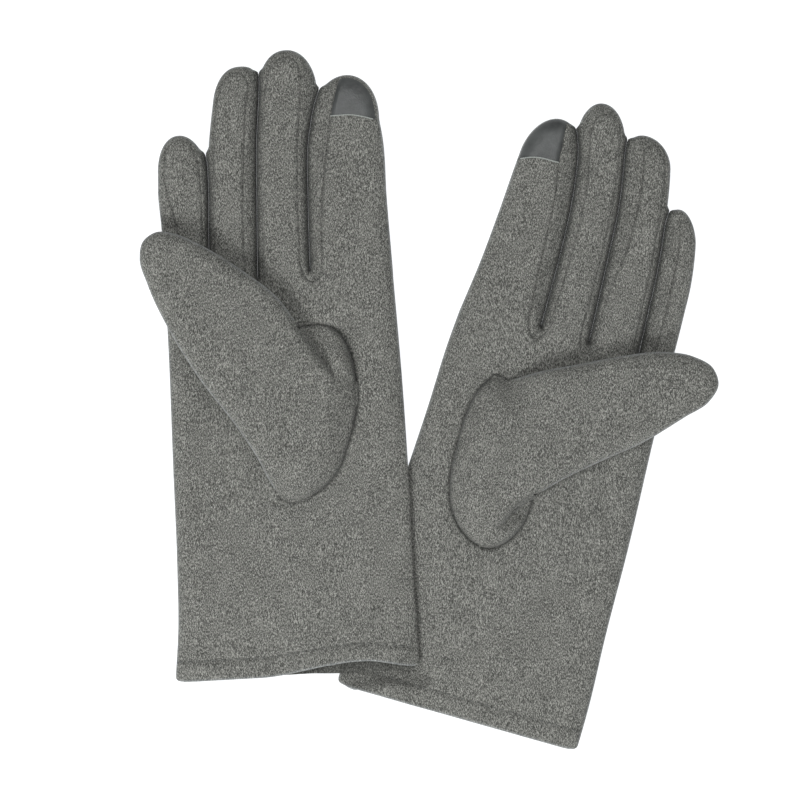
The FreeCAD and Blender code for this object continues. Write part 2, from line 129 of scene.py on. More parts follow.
# The seams between a finger's front and its strips. On the middle and the ring finger they
# run up one side, round the fingertip and down the other side, from the thumb's side on.
SEAMS = {
    "right": {
        "index": [(18.4, 158), (19.4, 176.3), (20.8, 187.6), (22.5, 198.9), (24.6, 211), (26.7, 219.6),
            (28.6, 225.4)],
        "middle": [(10.1, 157), (10.4, 178), (11.7, 203.3), (13.6, 221), (13.9, 229.5), (12.0, 233.9),
            (8.6, 235.3), (5.2, 234.2), (2.1, 230.3), (0.2, 222.5), (-2.3, 204.1), (-3.4, 181),
            (-4.2, 155)],
        "ring": [(-11.4, 155), (-10.4, 181.7), (-9.0, 200.7), (-7.1, 218.7), (-6.0, 226.5),
            (-8.8, 230.2), (-12.4, 230.0), (-15.4, 227.0), (-17.6, 222.1), (-19.6, 212), (-21.4, 190),
            (-22.8, 154)],
        "little": [(-27.0, 155), (-26.4, 175), (-26.2, 190), (-27.2, 199), (-29.0, 203.4)],
    },
    "left": {
        "index": [(15.2, 156), (16.4, 170.3), (16.9, 182), (17.5, 193.7), (18.8, 205.2), (20.6, 214.5),
            (21.6, 228.9)],
        "middle": [(6.9, 155.5), (6.2, 177), (6.6, 195), (8.2, 211), (10.4, 221), (11.7, 229.5),
            (10.0, 235.2), (6.5, 236.4), (2.9, 234.8), (-0.2, 227), (-3.2, 209), (-4.9, 188),
            (-5.6, 155.5)],
        "ring": [(-11.2, 155), (-11.7, 174.3), (-13.5, 186), (-13.7, 197), (-12.8, 212), (-11.2, 221),
            (-10.2, 228.2), (-13.0, 230.0), (-17.2, 226.5), (-20.4, 217.3), (-22.5, 203),
            (-24.6, 181.9), (-26.2, 153.5)],
        "little": [(-34.2, 153.5), (-34.6, 168), (-33.9, 180), (-32.8, 193), (-30.4, 204.5)],
    },
}
# The little finger of the right glove is rolled, so the seam at its outer side shows.
ROLLED_SEAM = [(-35.4, 160), (-35.8, 169.8), (-37.5, 179.5), (-39.3, 188), (-39.5, 196), (-38.6, 203.2)]
TONGUE = 4.6         # a strip's round end reaches this far below the crotch
CUFF_CORNER = 2.0    # the cuff's corners are rounded by this
CLOSEST = 0.03       # neighbouring fingers press together to this
PRESSED = 1.7        # and do so fully where their gap would be under this
LINE_STEP = 0.8      # the points of a drawn seam are this far apart


def smooth_value(stations, at):
    """A smooth curve through (place, value) pairs, read at 'at'."""
    place = np.array([s[0] for s in stations], float)
    level = np.array([s[1] for s in stations], float)
    slope = np.gradient(level, place)
    at = np.clip(np.asarray(at, float), place[0], place[-1])
    i = np.clip(np.searchsorted(place, at, side="right") - 1, 0, len(place) - 2)
    span = place[i + 1] - place[i]
    u = (at - place[i]) / span
    return (
        (2 * u**3 - 3 * u**2 + 1) * level[i] + (u**3 - 2 * u**2 + u) * span * slope[i]
        + (3 * u**2 - 2 * u**3) * level[i + 1] + (u**3 - u**2) * span * slope[i + 1]
    )


def finger_middle(hand, finger, y):
    """The finger's middle line."""
    stations, tip, _ = STATIONS[hand][finger]
    return smooth_value([(s[0], s[1]) for s in stations] + [(tip[1], tip[0])], y)


def finger_half(hand, finger, y):
    """Half the finger's width before its round end is cut."""
    return smooth_value([(s[0], s[2]) for s in STATIONS[hand][finger][0]], y)


def finger_edge(hand, finger, sign, y):
    """A finger's edge, +1 towards the thumb, with its end rounded."""
    stations, tip, square = STATIONS[hand][finger]
    y = np.asarray(y, float)
    rise = np.clip((y - stations[-1][0]) / (tip[1] - stations[-1][0]), 0, 1)
    half = finger_half(hand, finger, y) * np.maximum(1 - rise**square, 0) ** (1 / square)
    return finger_middle(hand, finger, y) + sign * half


def kept_apart(hand, finger, sign, y):
    """The edge again, moved back where the neighbouring finger would cross it."""
    edge = finger_edge(hand, finger, sign, y)
    place = FINGERS.index(finger) - sign
    if not 0 <= place < len(FINGERS):
        return edge
    other = FINGERS[place]
    facing = finger_edge(hand, other, -sign, y)
    gap = sign * (facing - edge)
    beside = np.asarray(y) < STATIONS[hand][other][1][1] - 0.4
    share = np.where(beside, 1 - np.clip((gap - PRESSED) / PRESSED, 0, 1) ** 2, 0)
    return edge + share * ((facing + edge) / 2 - sign * CLOSEST / 2 - edge)


def crotch_point(hand, pair):
    y = CROTCHES[hand][pair]
    return np.array([(finger_edge(hand, pair[0], -1, y) + finger_edge(hand, pair[1], 1, y)) / 2, y])


def lengths_along(points):
    """How far along a polyline each of its points lies."""
    return np.concatenate([[0], np.cumsum(np.linalg.norm(np.diff(points, axis=0), axis=1))])


def even(points, step):
    """Points along a polyline, evenly spaced about 'step' apart."""
    points = np.asarray(points, float)
    run = lengths_along(points)
    at = np.linspace(0, run[-1], max(2, int(round(run[-1] / step)) + 1))
    return np.stack([np.interp(at, run, points[:, k]) for k in range(points.shape[1])], axis=1)


def through(points, step):
    """A smooth curve through given points, evenly spaced."""
    points = np.asarray(points, float)
    run = lengths_along(points)
    fine = np.linspace(0, run[-1], 400)
    curve = np.stack([smooth_value(list(zip(run, points[:, k])), fine) for k in range(2)], axis=1)
    return even(curve, step)


def finger_side(hand, finger, sign, start):
    """Points up one side of a finger, closer together round the tip."""
    stations, tip, _ = STATIONS[hand][finger]
    straight = np.arange(start, stations[-1][0], 1.0)
    turn = np.linspace(0, math.pi / 2, 24)
    y = np.concatenate([straight, stations[-1][0] + (tip[1] - stations[-1][0]) * np.sin(turn)])
    return np.stack([kept_apart(hand, finger, sign, y), y], axis=1)


def hand_outline(hand):
    """The glove's outline: up from the cuff on the little finger's side, and down on the thumb's."""
    def palm_side(sign):
        y = np.concatenate([[0, 0.3, 0.7, 1.2, 1.8], np.arange(2.5, 151.0, 1.5)])
        turned_in = CUFF_CORNER - np.sqrt(CUFF_CORNER**2 - np.maximum(CUFF_CORNER - y, 0) ** 2)
        return np.stack([sign * (smooth_value(PALM_SIDES[hand][sign], y) - turned_in), y], axis=1)

    line = [palm_side(-1)]
    order = FINGERS[::-1]
    for place, finger in enumerate(order):
        outer = 152.5 if place == 0 else CROTCHES[hand][(finger, order[place - 1])] + 1.6
        inner = 152.5 if place == 3 else CROTCHES[hand][(order[place + 1], finger)] + 1.6
        line.append(finger_side(hand, finger, -1, outer))
        line.append(finger_side(hand, finger, 1, inner)[::-1][1:])
        if place < 3:
            line.append(crotch_point(hand, (order[place + 1], finger))[None])
    line.append(palm_side(1)[::-1])
    return even(np.vstack(line), 1.0)


def strip_tongue(hand, pair):
    """The round lower end of a strip, from one finger's seam to the next one's."""
    first = SEAMS[hand][pair[0]][0 if pair[0] == "index" else -1]
    last = SEAMS[hand][pair[1]][0]
    turn = np.linspace(0, math.pi, 15)
    middle, half = (first[0] + last[0]) / 2, (first[0] - last[0]) / 2
    top = first[1] + (last[1] - first[1]) * (1 - np.cos(turn)) / 2
    low = CROTCHES[hand][pair] - TONGUE
    return np.stack([middle + half * np.cos(turn), top - (top - low) * np.sin(turn)], axis=1)


def strip_seams(hand):
    """All the strips' seams of a glove as one line, from the index fingertip to the little one."""
    line = [through(SEAMS[hand]["index"], LINE_STEP)[::-1]]
    for pair in CROTCHES[hand]:
        line += [strip_tongue(hand, pair)[1:-1], through(SEAMS[hand][pair[1]], LINE_STEP)]
    return even(np.vstack(line), LINE_STEP)


# ------------------------ the thumb's pattern
# The thumb is set into the palm along a U-shaped seam and lies folded over the palm. Its
# free edge runs from one end of that seam round the tip to the other, and at one end the
# edge goes on as a fold that fades out over the gusset.
THUMBS = {
    "right": {
        "free": [(8.5, 132.3), (1.5, 143), (-13, 155.6), (-27.7, 165.6), (-36.5, 169.9), (-43.5, 171.0),
            (-48.8, 167.6), (-50.3, 161.5), (-47.9, 151.5), (-40.8, 134), (-30.5, 115.1), (-16.4, 94.5),
            (-9.5, 82.4), (-6.0, 74.5), (-2.7, 68.6)],
        "seam": [(-2.7, 68.6), (2.5, 66.4), (9.5, 68.2), (18.7, 75.1), (25.1, 88.4), (28.4, 100),
            (28.7, 111.1), (25.9, 124.5), (22.3, 130.2), (17.0, 132.8), (8.5, 132.3)],
        "fold": [(8.5, 132.3), (15.3, 120.8), (19.0, 115.0), (22.0, 110.0)],
    },
    "left": {
        "free": [(16.8, 128.3), (5.7, 135.2), (-8.2, 142.1), (-22, 149.0), (-36.2, 154.7),
            (-48.5, 156.3), (-56.5, 154.2), (-60.3, 148.8), (-58.6, 141.5), (-51.6, 133.6),
            (-38.3, 119.4), (-25.5, 108.7), (-12.9, 97.6), (-5.2, 89.6)],
        "seam": [(-5.2, 89.6), (-4.9, 82.0), (-3.0, 74.8), (0.8, 68.8), (6.7, 65.2), (12.0, 65.8),
            (18.6, 69.6), (24.6, 77.5), (27.4, 86.2), (28.5, 100), (28.2, 114.4), (25.3, 124.6),
            (21.0, 129.0), (16.8, 128.3)],
        "fold": [(-5.2, 89.6), (-0.6, 84.5), (3.8, 76.5), (8.5, 71.5)],
    },
}
seams = {hand: strip_seams(hand) for hand in SIDE}
rolled_seam = through(ROLLED_SEAM, LINE_STEP)
thumb_seams = {hand: through(THUMBS[hand]["seam"], 0.9) for hand in SIDE}


# ------------------------ how the cloth lies
# Two layers of knit with air between them: rounded at the edges, flat on the table below,
# softly uneven above, and pressed thinner where one cuff lies on the other.
LOFT = 9.1           # top of the palm above the table
FINGER_LOFT = 8.9    # and of the fingers
EDGE_ROUND = {"palm": 6.5, "finger": 6.6}
FINGERS_FROM = 140   # the cloth of the palm gives way to the fingers from this height on
BILLOWS = ((0.55, 34, 3.0), (0.3, 13, 9.0))      # height, size and seed of the unevenness
CUFF_SINKS, SINKS_FROM = 1.2, 40    # the cuff lies lower by this, from this height down
STRIP_DROP = 1.3     # a strip lies lower than the front of its finger
SEAM_DEPTH, SEAM_WIDE, BACK_SEAM_DEPTH = 0.7, 0.5, 0.35
THUMB_SEAM_DEPTH, THUMB_SEAM_WIDE = 0.8, 0.7
HEM_DEPTH = 7.6      # the hem's stitches, above the cuff's edge
STITCH_EVERY = 3.1
PRESSED_TOP = 4.6    # the lower cuff under the upper one
RAISED_BASE = 5.1    # the upper cuff's underside there
RAISED_PLY = 4.2     # and its least height above that
MOUTH_RISE = 2.4     # the right cuff's mouth stands open by this
# Painted shade, how dark and how wide: in the seams (the nap also pressed darker), gaps, strips and hem
# stitches.
SEAM_SHADE, SEAM_SHADE_WIDE = 0.42, 0.45
GAP_SHADE, GAP_SHADE_WIDE, GAP_LINE_WIDE = 0.80, 1.6, 0.5
STRIP_SHADE, HEM_SHADE = 0.10, 0.50
RIM_SHEEN, RIM_WIDE = 0.30, 0.5      # and how strong the painted sheen is along the outer edges, and how wide


def nearest(points, line):
    """The distance from each point to the nearest point of a closely spaced line."""
    points, line = np.asarray(points, float), np.asarray(line, float)
    far = np.empty(len(points))
    for start in range(0, len(points), 2000):
        part = points[start:start + 2000, None, :] - line[None]
        far[start:start + 2000] = np.sqrt((part**2).sum(-1).min(1))
    return far


def ease(value):
    """0 below 0, 1 above 1, and smooth between them."""
    value = np.clip(value, 0, 1)
    return value * value * (3 - 2 * value)


def dome(distance, radius):
    """A rounded edge: 0 at the edge, 1 from 'radius' inwards."""
    return np.sqrt(1 - (1 - np.clip(distance / radius, 0, 1)) ** 2)


def uneven(points, size, seed):
    """Soft unevenness of cloth, about 1 high, in lumps of the given size in millimetres."""
    return np.array([noise.noise((x / size, y / size, seed)) for x, y in points])


def inside(points, loop):
    """Which points lie inside a closed loop."""
    points, loop = np.asarray(points, float), np.asarray(loop, float)
    x, y = points[:, 0], points[:, 1]
    within = np.zeros(len(points), bool)
    for (ax, ay), (bx, by) in zip(loop, np.roll(loop, -1, 0)):
        if ay != by:
            crossing = (ay > y) != (by > y)
            within ^= crossing & (x < (bx - ax) * (y - ay) / (by - ay) + ax)
    return within


def finger_of(hand, points):
    """The finger that each point belongs to, by the middles of the gaps."""
    owner = np.zeros(len(points), int)
    for place, (finger, neighbour) in enumerate(zip(FINGERS, FINGERS[1:])):
        y = np.clip(points[:, 1], 152, min(STATIONS[hand][f][1][1] for f in (finger, neighbour)) - 0.5)
        gap = (finger_edge(hand, finger, -1, y) + finger_edge(hand, neighbour, 1, y)) / 2
        owner = np.where(points[:, 0] < gap, place + 1, owner)
    return owner


def strip_side(hand, points):
    """+1 or -1 where a finger's point lies on a strip, on that side of its front, and 0 elsewhere."""
    result = np.zeros(len(points), int)
    owner = finger_of(hand, points)
    for place, finger in enumerate(FINGERS):
        mine = owner == place
        if finger in ("middle", "ring"):
            first, last = SEAMS[hand][finger][0], SEAMS[hand][finger][-1]
            front = np.vstack([through(SEAMS[hand][finger], LINE_STEP), (last[0], 120), (first[0], 120)])
            side = np.where(points[:, 0] > finger_middle(hand, finger, points[:, 1]), 1, -1)
            above = points[:, 1] > np.where(side > 0, first[1], last[1])
            off = mine & above & ~inside(points, front)
            result[off] = side[off]
        else:
            sign = -1 if finger == "index" else 1
            line = np.array(SEAMS[hand][finger], float)
            at = np.interp(points[:, 1], line[:, 1], line[:, 0])
            mine &= points[:, 1] > line[0, 1]
            result[mine & (points[:, 1] < line[-1, 1]) & (sign * (points[:, 0] - at) > 0)] = sign
    return result


def strip_depth(hand, points):
    """How far a point lies beyond the seam on a strip, and 0 off the strips."""
    return np.where(strip_side(hand, points) != 0, nearest(points, seams[hand]), 0)


def billow(points, waves):
    """The unevenness of a layer in millimetres: each wave has a height, a size and a seed."""
    return sum(height * uneven(points, size, seed) for height, size, seed in waves)


def groove(points, line, wide):
    """1 on a line, fading to 0 over about 'wide' on each side."""
    return np.exp(-((nearest(points, line) / wide) ** 2))


def layer_heights(hand, points, rim):
    """Heights of the front and back layers at the points; 'rim' is the outline without the cuff."""
    x, y = points[:, 0], points[:, 1]
    row = axes[hand][0] + x[:, None] * axes[hand][1] + y[:, None] * axes[hand][2]
    in_fingers = ease((y - FINGERS_FROM) / 18)
    top = LOFT + (FINGER_LOFT - LOFT) * in_fingers
    top += billow(points, BILLOWS)
    top -= CUFF_SINKS * ease((SINKS_FROM - y) / SINKS_FROM)
    base = np.zeros(len(points))
    other = "left" if hand == "right" else "right"
    neighbour = from_row(other, row)
    half = smooth_value(PALM_SIDES[other][1], np.clip(neighbour[:, 1], 0, 150))
    outside = np.maximum(neighbour[:, 0] - half - 0.4, -neighbour[:, 1] - 0.3)
    if hand == "left":
        top = np.minimum(top, PRESSED_TOP + (LOFT - PRESSED_TOP) * ease(outside / 9))
    else:
        base = RAISED_BASE * (1 - ease(outside / 12))
        top = np.maximum(top, base + RAISED_PLY)
        top += MOUTH_RISE * ease((x + 10) / 30) * ease((48 - x) / 14) * ease((30 - y) / 30)
    middle = (top + base) / 2
    radius = EDGE_ROUND["palm"] + (EDGE_ROUND["finger"] - EDGE_ROUND["palm"]) * in_fingers
    share = dome(nearest(points, rim), radius)
    front = middle + (top - middle) * share
    back = middle - (middle - base) * share
    front -= STRIP_DROP * ease((strip_depth(hand, points) - 0.2) / 4.5) * share
    front -= SEAM_DEPTH * groove(points, seams[hand], SEAM_WIDE) * share
    back += BACK_SEAM_DEPTH * groove(points, seams[hand], SEAM_WIDE) * share
    if hand == "right":
        front -= SEAM_DEPTH * groove(points, rolled_seam, SEAM_WIDE) * share
    front -= THUMB_SEAM_DEPTH * groove(points, thumb_seams[hand], THUMB_SEAM_WIDE)
    front -= 0.32 * np.exp(-(((y - HEM_DEPTH) / 0.7) ** 2)) * share
    front += 0.3 * ease((HEM_DEPTH - 0.6 - y) / 2) * share
    return front, np.maximum(back, base + 0.02)


def gap_lines(hand):
    """The lines where neighbouring fingers press together."""
    lines = []
    for pair in CROTCHES[hand]:
        y = np.arange(CROTCHES[hand][pair], min(STATIONS[hand][f][1][1] for f in pair), 0.6)
        sides = [finger_edge(hand, pair[0], -1, y), finger_edge(hand, pair[1], 1, y)]
        close = (sides[0] - sides[1]) < 2.2
        lines.append(np.stack([(sides[0] + sides[1])[close] / 2, y[close]], axis=1))
    return np.vstack(lines)


def darkness(hand, points):
    """Painted shade on the nap: in the seams, where it is also pressed darker, between fingers, on the strips
    and along the hem's stitches.
    """
    uneven_seam_shade = 0.75 + 0.45 * uneven(points, 7, 4.0)
    dashes = 0.45 + 0.55 * np.sin(2 * math.pi * points[:, 0] / STITCH_EVERY)
    # painted shade in the gaps where neighbouring fingers touch
    gaps = gap_lines(hand)
    shades = [
        SEAM_SHADE * uneven_seam_shade * groove(points, seams[hand], SEAM_SHADE_WIDE),
        GAP_SHADE * groove(points, gaps, GAP_SHADE_WIDE),
        groove(points, gaps, GAP_LINE_WIDE),
        STRIP_SHADE * (strip_side(hand, points) != 0),
        HEM_SHADE * np.exp(-(((points[:, 1] - HEM_DEPTH) / 0.6) ** 2)) * dashes,
    ]
    if hand == "right":
        shades.append(SEAM_SHADE * uneven_seam_shade * groove(points, rolled_seam, SEAM_SHADE_WIDE))
    return np.max(shades, axis=0)


def ragged(points):
    """How strong the painted rim sheen is along an edge, from place to place."""
    return 0.8 + 0.6 * uneven(points, 2.5, 6.0)


def painted_rim_sheen(hand, points):
    """Painted sheen: a pale rim along the outer edges only, where the nap is seen edge on."""
    side = hand_outline(hand)
    outer = side[(nearest(side, gap_lines(hand)) > 2.0) & (side[:, 1] > 1.5)]
    if hand == "right":
        outer = outer[(outer[:, 0] < 0) | (outer[:, 1] > 78)]
    return RIM_SHEEN * ragged(points) * groove(points, outer, RIM_WIDE)


# ------------------------ triangles of cloth
# A layer is cut into small triangles that follow its edge, its seams and the lines where
# one piece ends and the next begins, so that each piece can be lifted out whole.
GRAIN = 2.0          # the cloth's triangles in the palm
FINE = 1.4           # and in the fingers and the thumb
# Rows of points beside the edge and beside each line: their distance and their least gap.
EDGE_ROWS = ((0.3, 0.28), (0.9, 0.5), (1.8, 0.8), (3.0, 1.1), (4.4, 1.3))
LINE_ROWS = ((0.4, 0.36), (0.9, 0.45), (1.6, 0.6))


def offset_rows(line, distance, closed=False):
    """Two rows of points beside a line, one on each side of it."""
    line = np.asarray(line, float)
    ahead = np.roll(line, -1, 0) - np.roll(line, 1, 0) if closed else np.gradient(line, axis=0)
    normal = np.stack([-ahead[:, 1], ahead[:, 0]], axis=1)
    normal /= np.maximum(np.linalg.norm(normal, axis=1, keepdims=True), 1e-9)
    return [line + distance * normal, line - distance * normal]


def spread_out(points, taken, gap):
    """The points that keep 'gap' from those taken already and from each other."""
    cells, kept = {}, []

    def cell(p):
        return int(p[0] // gap), int(p[1] // gap)

    def crowded(p):
        i, j = cell(p)
        return any((p[0] - q[0]) ** 2 + (p[1] - q[1]) ** 2 < gap * gap
                   for di in (-1, 0, 1) for dj in (-1, 0, 1) for q in cells.get((i + di, j + dj), ()))

    for p in taken:
        cells.setdefault(cell(p), []).append(p)
    for p in points:
        if not crowded(p):
            kept.append(p)
            cells.setdefault(cell(p), []).append(p)
    return kept


def triangulated(loop, lines, palm_size):
    """Triangles inside a closed loop, with edges along each of the lines."""
    points = [tuple(p) for p in loop]
    edges = [(i, (i + 1) % len(loop)) for i in range(len(loop))]
    for line in lines:
        start = len(points)
        points += [tuple(p) for p in line]
        edges += [(start + i, start + i + 1) for i in range(len(line) - 1)]
    rows = [(row, gap) for distance, gap in EDGE_ROWS for row in offset_rows(loop, distance, closed=True)]
    for line in lines:
        rows += [(row, gap) for distance, gap in LINE_ROWS for row in offset_rows(line, distance)]
    for row, gap in rows:
        row = row[inside(row, loop)]
        row = row[nearest(row, loop) > gap * 0.9] if len(row) else row
        points += [tuple(p) for p in spread_out(row, points, gap)]
    low, high = np.min(loop, axis=0), np.max(loop, axis=0)
    fill = []
    for line, y in enumerate(np.arange(low[1], high[1], palm_size * 0.5)):
        step = FINE if y > FINGERS_FROM else palm_size
        fill += [(x, y) for x in np.arange(low[0] + (line % 2) * step / 2, high[0], step)]
    fill = np.array(fill)
    fill = fill[inside(fill, loop)]
    in_fingers = fill[:, 1] > FINGERS_FROM - 2
    for size, part in ((FINE, fill[in_fingers]), (palm_size, fill[~in_fingers])):
        if len(part):
            points += [tuple(p) for p in spread_out(part, points, size * 0.85)]
    made = delaunay_2d_cdt([Vector(p) for p in points], edges, [], 1, 1e-4)
    return np.array([tuple(v) for v in made[0]]), np.array([f for f in made[2] if len(f) == 3])


def facing_up(hand, flat, triangles):
    """The triangles, turned so that they face up on either hand."""
    corner = flat[triangles]
    area = np.cross(corner[:, 1] - corner[:, 0], corner[:, 2] - corner[:, 0])
    return np.where((area * SIDE[hand] < 0)[:, None], triangles[:, ::-1], triangles)


def two_layers(flat, top, bottom, sewn, shift=0):
    """The points of a front and a back layer, and each front point's twin: itself where they are sewn."""
    points = np.vstack([np.column_stack([flat + shift, top]), np.column_stack([flat, bottom])])
    return points, np.arange(len(flat)) + np.where(sewn, 0, len(flat))


# ------------------------ the knit
# Grey brushed jersey: a heathered mix of dark and light fibres that are teased into a nap,
# with painted sheen where it is seen edge on and painted shade in seams and gaps. All of the
# glove but its patch and its thread is cut from it.
KNIT_DARK = (0.048, 0.049, 0.045, 1)
KNIT_LIGHT = (0.510, 0.514, 0.476, 1)
SHADED = (0.022, 0.023, 0.021, 1)
PAINTED_SHEEN_COLOUR = (0.56, 0.60, 0.62, 1)
NAP_STRENGTH = 0.55


def fill_in(tree, node, **inputs):
    """Sets a node's inputs by name, each to a value or to another node's output."""
    for name, value in inputs.items():
        socket = node.inputs[name.replace("_", " ")]
        if isinstance(value, bpy.types.NodeSocket):
            tree.links.new(value, socket)
        else:
            socket.default_value = value
    return node


def add_node(tree, kind, **inputs):
    return fill_in(tree, tree.nodes.new("ShaderNode" + kind), **inputs)


def noise_node(tree, vector, scale, detail=2.0, rough=0.55, stretch=None):
    if stretch:
        vector = add_node(tree, "Mapping", Vector=vector, Scale=stretch).outputs["Vector"]
    inputs = {"Vector": vector, "Scale": scale, "Detail": detail, "Roughness": rough}
    return add_node(tree, "TexNoise", **inputs).outputs["Fac"]


def math_node(tree, operation, *values):
    node = add_node(tree, "Math")
    node.operation = operation
    for socket, value in zip(node.inputs, values):
        if isinstance(value, (int, float)):
            socket.default_value = value
        else:
            tree.links.new(value, socket)
    return node.outputs[0]


def mixed_colour(tree, factor, first, second):
    mix = add_node(tree, "Mix")
    mix.data_type = "RGBA"
    return fill_in(tree, mix, Factor=factor, A=first, B=second).outputs["Result"]


def heather_group():
    """Colour, roughness and height of teased, heathered fibres."""
    tree = bpy.data.node_groups.new("HeatheredNap", "ShaderNodeTree")
    for way, names in (("INPUT", ("Dark", "Light", "Fibre")), ("OUTPUT", ("Color", "Roughness", "Height"))):
        for name in names:
            kind = "NodeSocketColor" if name in ("Dark", "Light", "Color") else "NodeSocketFloat"
            tree.interface.new_socket(name, in_out=way, socket_type=kind)
    given = tree.nodes.new("NodeGroupInput").outputs
    sized = add_node(tree, "VectorMath")
    sized.operation = "SCALE"
    tree.links.new(add_node(tree, "TexCoord").outputs["Object"], sized.inputs[0])
    place = fill_in(tree, sized, Scale=given["Fibre"]).outputs[0]
    flecks = noise_node(tree, place, 1.0, 2.5, 0.65, (1.5, 0.58, 1.0))
    fibres = noise_node(tree, place, 2.3, 2.0, 0.6, (1.1, 0.8, 1.0))
    clouds = noise_node(tree, place, 0.07, 2.0, 0.5)
    nap = math_node(tree, "ADD", math_node(tree, "MULTIPLY", flecks, 0.56),
                    math_node(tree, "MULTIPLY", fibres, 0.44))
    shade = add_node(tree, "MapRange", Value=nap, From_Min=0.458, From_Max=0.685).outputs["Result"]
    share = math_node(tree, "ADD", shade, math_node(tree, "MULTIPLY_ADD", clouds, 0.15, -0.075))
    colour = mixed_colour(tree, share, given["Dark"], given["Light"])
    rough = math_node(tree, "MULTIPLY_ADD", fibres, 0.12, 0.86)
    fill_in(tree, tree.nodes.new("NodeGroupOutput"), Color=colour, Roughness=rough, Height=nap)
    return tree


HEATHER = heather_group()


def new_material(name):
    """A material, its node tree and its shader."""
    material = bpy.data.materials.new(name)
    material.use_nodes = True
    return material, material.node_tree, material.node_tree.nodes["Principled BSDF"]


def knit_material(name, dark, light, fibre, lift):
    """Brushed knit: 'fibre' is how many flecks there are to a metre, 'lift' the nap's height."""
    material, tree, shader = new_material(name)
    group = tree.nodes.new("ShaderNodeGroup")
    group.node_tree = HEATHER
    nap = fill_in(tree, group, Dark=dark, Light=light, Fibre=fibre).outputs
    colour = nap["Color"]
    # painted shade and painted sheen, from the pieces' point attributes, are mixed into the colour
    for attribute, tint in (("painted_shade", SHADED), ("painted_sheen", PAINTED_SHEEN_COLOUR)):
        reader = add_node(tree, "Attribute")
        reader.attribute_name = attribute
        colour = mixed_colour(tree, reader.outputs["Fac"], colour, tint)
    bump = add_node(tree, "Bump", Strength=NAP_STRENGTH, Distance=lift, Height=nap["Height"])
    fill_in(tree, shader, Base_Color=colour, Roughness=nap["Roughness"], Normal=bump.outputs["Normal"],
            Specular_IOR_Level=0.12, Sheen_Weight=0.08, Sheen_Roughness=0.5, Sheen_Tint=(0.80, 0.84, 0.86, 1))
    return material


brushed_knit = knit_material("brushed_heather_knit", KNIT_DARK, KNIT_LIGHT, 2150, 0.0006)
CLOTH = 1.1          # the knit's thickness


def placed(name, mesh, material):
    """Puts a mesh into the scene, as the selected piece."""
    mesh.materials.append(material)
    piece = bpy.data.objects.new(name, mesh)
    bpy.context.scene.collection.objects.link(piece)
    bpy.context.view_layer.objects.active = piece
    piece.select_set(True)
    return piece


def cloth_piece(name, hand, points, triangles, dark, painted_sheen=None, thickness=CLOTH,
                material=brushed_knit):
    """A piece of cloth from points in a glove's frame; its outer face is where the points are."""
    used, flat = np.unique(triangles, return_inverse=True)
    mesh = bpy.data.meshes.new(name)
    mesh.from_pydata([tuple(p) for p in to_row(hand, points[used])], [], flat.reshape(-1, 3).tolist())
    # the painted shade and painted sheen go onto the points as attributes
    for attribute, value in (("painted_shade", dark), ("painted_sheen", painted_sheen)):
        if value is not None:
            data = mesh.attributes.new(attribute, "FLOAT", "POINT").data
            data.foreach_set("value", value[used].astype(np.float32))
    piece = placed(name, mesh, material)
    ply = piece.modifiers.new("ply", "SOLIDIFY")
    ply.thickness = thickness * MM
    ply.offset = -1
    ply.use_even_offset = False
    bpy.ops.object.modifier_apply(modifier="ply")
    bpy.ops.object.shade_smooth_by_angle(angle=math.radians(55))
    piece.select_set(False)
    return piece


# ------------------------ palm, back, strips and finger stalls
# The palm and the back are one panel each. They meet along the outer sides, and three
# strips join them between the fingers. A finger's piece begins a little below its knuckle,
# where the cloth starts to bend.
BEND = 6.5           # a knuckle's bending length each side, which only sets where the split lies
SPLIT = BEND + 0.5   # and a finger's piece begins this far below it
THUMB_SHADE, THUMB_SHADE_WIDE = 0.50, 0.5    # the palm along the thumb's seam
HEM_EDGE_SHEEN, HEM_EDGE_SHEEN_WIDE = 0.28, 0.5          # painted sheen along the front's edge at the cuff
MOUTH_ARCH, MOUTH_LENGTH = 4.6, 26   # the right cuff's front is drawn up so far, over this length
HEM_WAVE = 2.2       # the left cuff's front edge is uneven by this
PATCH_EDGE = {       # the patch's sewn lower edge
    "right": ((24.9, 211.7), (32.0, 211.7), (43.3, 208.9)),
    "left": ((36.6, 210.4), (29.5, 213.0), (20.2, 213.5)),
}
PATCH_INSET = {"right": 1.5, "left": 0.5}    # its free edge to the fingertip's edge


def patch_border(hand):
    """The coated patch's free edge, just inside the fingertip's own edge."""
    side = hand_outline(hand)
    ahead = np.gradient(side, axis=0)
    inward = np.stack([ahead[:, 1], -ahead[:, 0]], axis=1) / np.linalg.norm(ahead, axis=1, keepdims=True)
    moved = side + PATCH_INSET[hand] * inward
    seam = through(SEAMS[hand]["index"], 0.5)
    at = np.interp(moved[:, 1], seam[:, 1], seam[:, 0])
    low = np.interp(moved[:, 0], *zip(*sorted(PATCH_EDGE[hand])))
    return moved[(moved[:, 0] > at + 0.4) & (moved[:, 1] > low + 0.4) & (moved[:, 0] > 15)]


def bend_line(hand, joint_name):
    """Where a joint lies in the glove's frame, the direction of the part it turns, and its height."""
    joint = joints[f"{hand}_{joint_name}"]
    place = from_row(hand, np.array(joint["pos_m"][:2]) / MM)
    turn = np.array(joint["axis"][:2])
    _, across, along = axes[hand]
    ahead = np.array([-turn[1], turn[0]])
    return place, np.array([ahead @ across, ahead @ along]), joint["pos_m"][2] / MM


